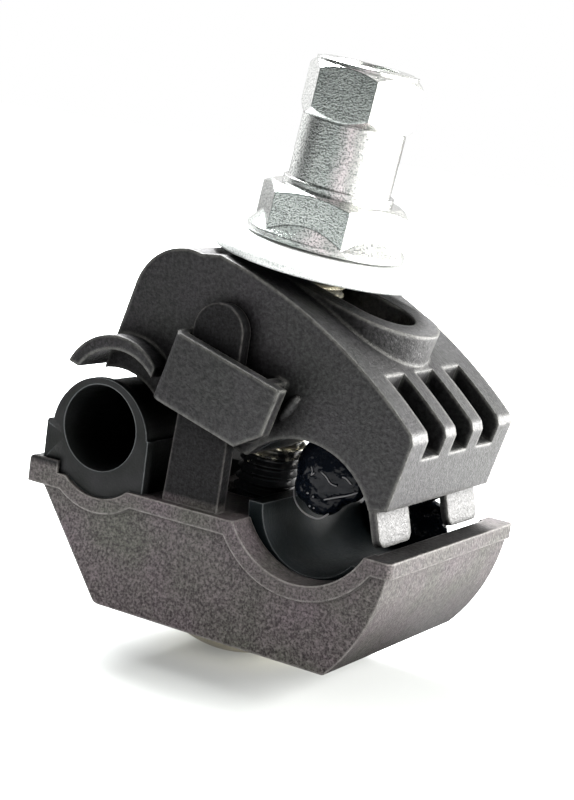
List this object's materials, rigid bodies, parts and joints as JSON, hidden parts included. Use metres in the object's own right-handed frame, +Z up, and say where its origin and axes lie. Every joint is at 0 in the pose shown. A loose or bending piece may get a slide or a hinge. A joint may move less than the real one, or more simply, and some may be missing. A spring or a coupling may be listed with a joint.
{
  "type": "tap connector",
  "caption": "Clamp that taps an insulated overhead line: two jaws with blades and seals, squeezed by a bolt with a twist-off nut.",
  "frame": {"origin": "on the axis of the main line's groove, halfway along the groove", "axes": "+Y along both grooves toward the capped end of the tap groove, +Z up from the lower jaw to the nut, +X from the tap groove toward the main groove"},
  "size_m": [0.0523, 0.0395, 0.077],
  "materials": {
    "jaw_plastic": "matt black glass-filled plastic with a fine grain",
    "seal_rubber": "satin dark grey rubber",
    "zinc_steel": "bright zinc plate",
    "blade_metal": "tinned copper alloy, greased"
  },
  "bodies": {
    "lower": {"lower_jaw": "jaw_plastic", "lower_main_seal": "seal_rubber", "lower_blade_front": "blade_metal", "lower_blade_rear": "blade_metal", "tap_boot": "seal_rubber", "end_cap": "seal_rubber"},
    "bolt": {"carriage_bolt": "zinc_steel"},
    "washer": {"washer": "zinc_steel"},
    "nut": {"shear_nut": "zinc_steel"},
    "upper": {"upper_jaw": "jaw_plastic", "upper_main_seal": "seal_rubber", "upper_blade_front": "blade_metal", "upper_blade_rear": "blade_metal"}
  },
  "joints": [
    {"name": "bolt_rock", "type": "hinge", "parent": "lower", "child": "bolt", "pos_m": [-0.0169, 0, -0.01669], "axis": [0, 1, 0], "range_deg": [-7.24, 0]},
    {"name": "washer_travel", "type": "slide", "parent": "bolt", "child": "washer", "axis": [0.126, 0, 0.992], "range_m": [-0.005, 0.0025], "deforming": ["tap_boot"]},
    {"name": "nut_turn", "type": "hinge", "parent": "washer", "child": "nut", "pos_m": [-0.01121, 0, 0.02807], "axis": [0.126, 0, 0.992], "range_deg": [-1440, 720]},
    {"name": "jaw_rock", "type": "hinge", "parent": "washer", "child": "upper", "pos_m": [-0.01713, 0, 0.0285], "axis": [0, 1, 0], "range_deg": [-8.76, 0]}
  ],
  "couplings": [
    {"joint": "nut_turn", "follows": "washer_travel", "rad_per_m": 5026.5},
    {"joint": "jaw_rock", "follows": "bolt_rock", "ratio": 1.2099}
  ]
}
